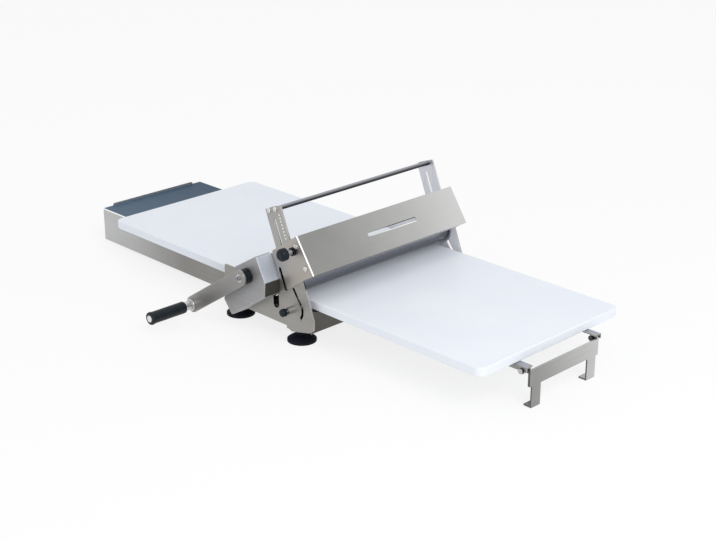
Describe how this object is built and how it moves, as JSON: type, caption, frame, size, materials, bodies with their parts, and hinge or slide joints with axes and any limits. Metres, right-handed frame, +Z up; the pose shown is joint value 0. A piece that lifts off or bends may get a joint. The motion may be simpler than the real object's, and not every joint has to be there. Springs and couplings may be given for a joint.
{
  "type": "manual dough sheeter",
  "caption": "Tabletop hand-cranked dough sheeter: a sliding board is fed by a geared roller under a height-adjustable upper roller, with a folding leg.",
  "frame": {"origin": "on the table, under the middle of the bounding box", "axes": "+X along the feed, from the left table to the folding leg; +Y from the crank side to the far side; +Z up"},
  "size_m": [1.174, 0.577, 0.2664],
  "materials": {
    "sheet_steel": "brushed",
    "turned_steel": "turned",
    "fasteners": "bright",
    "gear_steel": "machined",
    "bush_bronze": "machined",
    "foot_rubber": "matte",
    "board_plastic": "satin",
    "black_plastic": "satin",
    "dark_bar": "satin"
  },
  "bodies": {
    "base": {"near_side_plate": "sheet_steel", "far_side_plate": "sheet_steel", "front_cross_member": "sheet_steel", "rear_cross_member": "sheet_steel", "left_table": "sheet_steel", "near_rail": "sheet_steel", "far_rail": "sheet_steel", "foot_brackets": "sheet_steel", "rubber_feet": "foot_rubber", "foot_studs": "fasteners", "gear_guard": "sheet_steel", "guard_screws": "fasteners", "crank_bushes": "bush_bronze", "gear_bush": "bush_bronze", "drive_bushes": "bush_bronze", "roller_cover": "sheet_steel", "cover_screws": "fasteners", "guide_studs": "turned_steel", "clamp_bolt": "turned_steel", "clamp_sleeve": "turned_steel", "catch_body": "turned_steel", "catch_spring": "turned_steel", "table_screws": "fasteners", "rail_screws": "fasteners", "leg_bolts": "fasteners"},
    "yoke": {"near_arm": "sheet_steel", "far_arm": "sheet_steel", "handle_bar": "dark_bar", "arm_screws": "fasteners", "guide_pins": "turned_steel", "upper_bushes": "bush_bronze"},
    "upper_roller": {"upper_roller": "turned_steel", "upper_roller_shaft": "turned_steel"},
    "drive_roller": {"drive_roller": "turned_steel", "drive_shaft": "turned_steel", "drive_gear": "gear_steel"},
    "support_roller": {"support_roller": "turned_steel", "support_axle": "turned_steel"},
    "gear_shaft": {"gear_shaft": "turned_steel", "reduction_gear": "gear_steel", "transfer_gear": "gear_steel"},
    "crank": {"crank_shaft": "turned_steel", "crank_pinion": "gear_steel", "crank_collar": "black_plastic", "crank_arm": "sheet_steel", "crank_screw": "turned_steel", "grip_spindle": "turned_steel", "grip_cap": "turned_steel"},
    "grip": {"grip": "black_plastic"},
    "clamp_knob": {"clamp_knob": "black_plastic"},
    "catch": {"catch_pin": "turned_steel", "catch_knob": "black_plastic"},
    "board": {"board": "board_plastic"},
    "leg": {"leg_bracket": "sheet_steel"}
  },
  "joints": [
    {"name": "crank_turn", "type": "hinge", "parent": "base", "child": "crank", "pos_m": [0.0323, -0.177, 0.1273], "axis": [0, 1, 0], "range_deg": [-230, 843]},
    {"name": "gear_shaft_turn", "type": "hinge", "parent": "base", "child": "gear_shaft", "pos_m": [0.01667, -0.134, 0.09048], "axis": [0, 1, 0], "range_deg": [-692, 190]},
    {"name": "drive_roller_turn", "type": "hinge", "parent": "base", "child": "drive_roller", "pos_m": [0.0693, 0.078, 0.0577], "axis": [0, 1, 0], "range_deg": [-300, 1094]},
    {"name": "support_roller_turn", "type": "hinge", "parent": "base", "child": "support_roller", "pos_m": [0.136, 0.078, 0.0577], "axis": [0, 1, 0], "range_deg": [-300, 1094]},
    {"name": "board_slide", "type": "slide", "parent": "base", "child": "board", "axis": [1, 0, 0], "range_m": [-0.116, 0.421]},
    {"name": "yoke_slide", "type": "slide", "parent": "base", "child": "yoke", "axis": [-0.3746, 0, 0.9272], "range_m": [0, 0.038]},
    {"name": "upper_roller_spin", "type": "hinge", "parent": "yoke", "child": "upper_roller", "pos_m": [0.105, 0.078, 0.128], "axis": [0, 1, 0], "continuous": true},
    {"name": "grip_spin", "type": "hinge", "parent": "crank", "child": "grip", "pos_m": [-0.11355, -0.247, 0.03113], "axis": [0, 1, 0], "continuous": true},
    {"name": "clamp_knob_turn", "type": "hinge", "parent": "base", "child": "clamp_knob", "pos_m": [0.12165, -0.157, 0.1901], "axis": [0, 1, 0], "range_deg": [0, 360]},
    {"name": "catch_pull", "type": "slide", "parent": "base", "child": "catch", "axis": [0, -1, 0], "range_m": [0, 0.005], "stiffness_N_per_m": 500, "springref_m": -0.004, "deforming": ["catch_spring"]},
    {"name": "leg_fold", "type": "hinge", "parent": "base", "child": "leg", "pos_m": [0.5745, 0.078, 0.071], "axis": [0, 1, 0], "range_deg": [0, 90]}
  ],
  "couplings": [
    {"joint": "gear_shaft_turn", "follows": "crank_turn", "ratio": -0.81818},
    {"joint": "drive_roller_turn", "follows": "crank_turn", "ratio": 1.2955},
    {"joint": "support_roller_turn", "follows": "crank_turn", "ratio": 1.2955},
    {"joint": "board_slide", "follows": "crank_turn", "m_per_rad": 0.0285}
  ]
}
